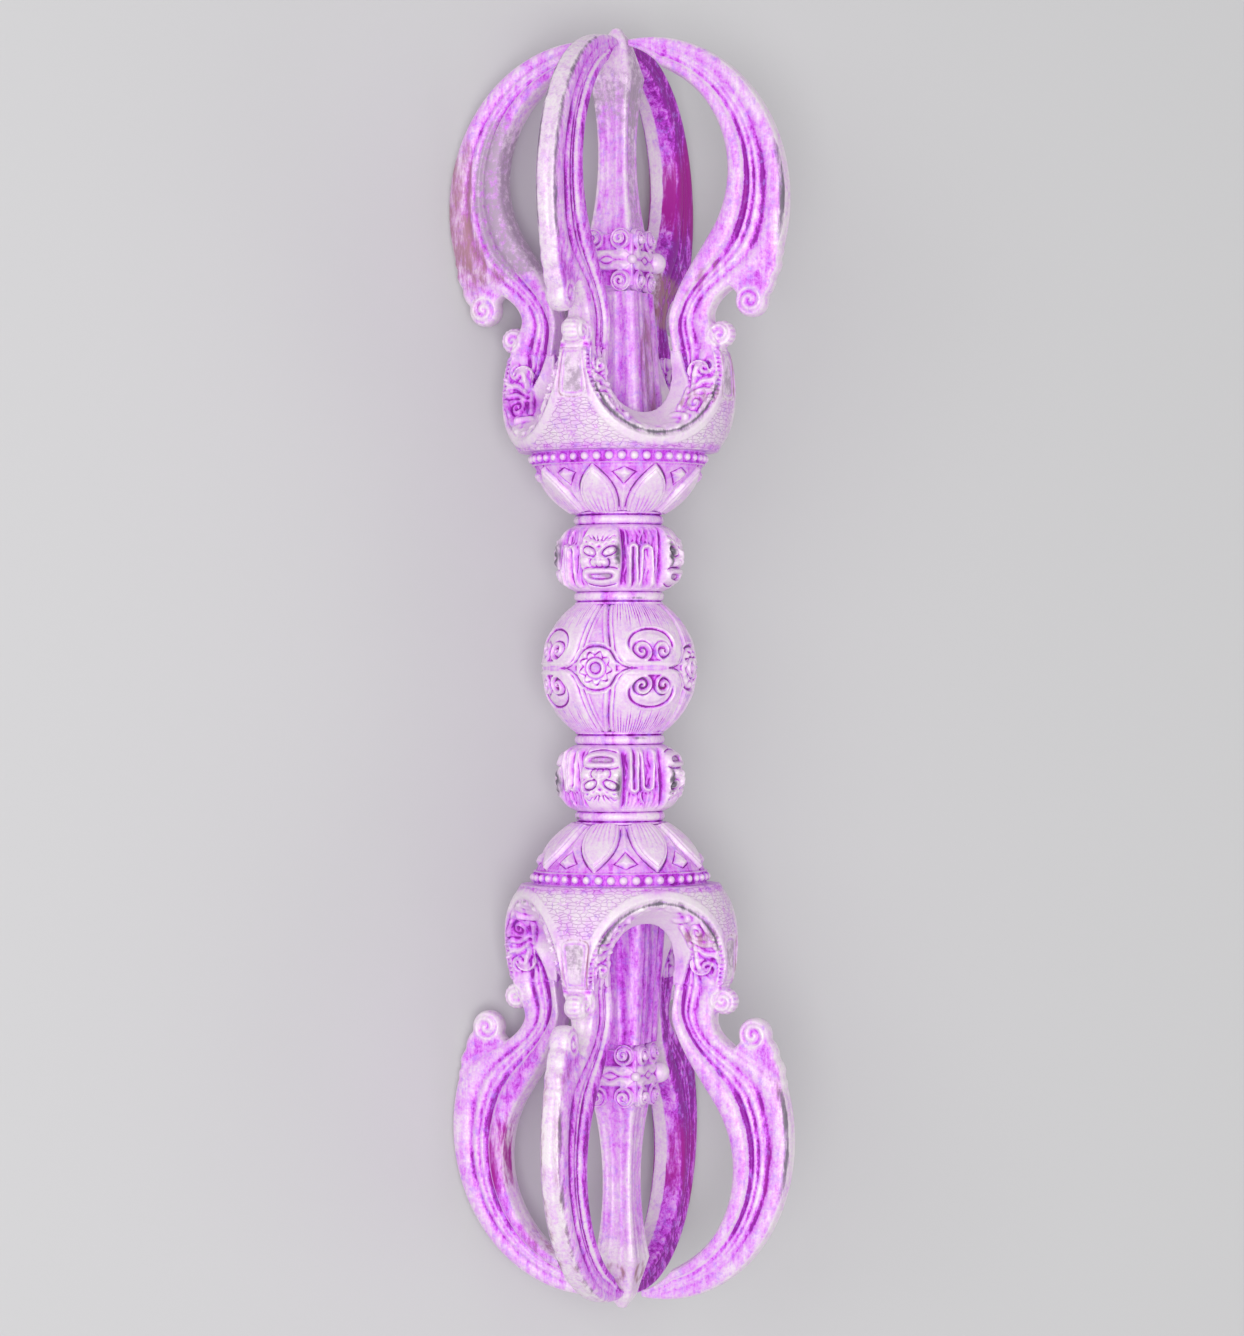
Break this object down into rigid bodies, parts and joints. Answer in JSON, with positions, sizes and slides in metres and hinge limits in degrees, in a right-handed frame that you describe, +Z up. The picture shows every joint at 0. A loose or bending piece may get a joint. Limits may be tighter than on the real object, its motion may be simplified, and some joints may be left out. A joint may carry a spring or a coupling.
{
  "type": "dorje vajra",
  "caption": "Double-ended ritual sceptre: masked grip with a centre ball, lotus cups and bulbs, and at each end curved fluted prongs closing round a straight central prong.",
  "frame": {"origin": "on the surface it lies on, under the middle of the centre ball", "axes": "+X along the sceptre towards its upper end, +Z up from the surface it lies on"},
  "size_m": [0.1794, 0.0379, 0.0379],
  "materials": {
    "grip_metal": "rubbed cast metal, pale lilac, with magenta patina in the hollows of the ornament",
    "collar_metal": "rubbed turned rings, lilac, magenta in the grooves",
    "bulb_metal": "satin cast metal with a fine scale pattern, pale lilac with violet and magenta patina",
    "prong_metal": "satin cast metal, lilac edges with magenta and violet patina in the flutes and greyish patches",
    "central_metal": "matt cast metal, magenta to violet patina, pale at the edges",
    "rod_iron": "plain drawn iron rod, hidden"
  },
  "bodies": {
    "root": {"core_rod": "rod_iron", "centre_ball": "grip_metal", "upper_inner_collar": "collar_metal", "upper_mask_drum": "grip_metal", "upper_outer_collar": "collar_metal", "upper_lotus_cup": "grip_metal", "upper_pearl_ring": "grip_metal", "upper_bulb": "bulb_metal", "upper_central_prong": "central_metal", "upper_cloud_collar": "grip_metal", "lower_inner_collar": "collar_metal", "lower_mask_drum": "grip_metal", "lower_outer_collar": "collar_metal", "lower_lotus_cup": "grip_metal", "lower_pearl_ring": "grip_metal", "lower_bulb": "bulb_metal", "lower_central_prong": "central_metal", "lower_cloud_collar": "grip_metal", "upper_prong_1": "prong_metal", "upper_prong_2": "prong_metal", "upper_prong_3": "prong_metal", "upper_prong_4": "prong_metal", "lower_prong_1": "prong_metal", "lower_prong_2": "prong_metal", "lower_prong_3": "prong_metal", "lower_prong_4": "prong_metal"}
  },
  "joints": []
}
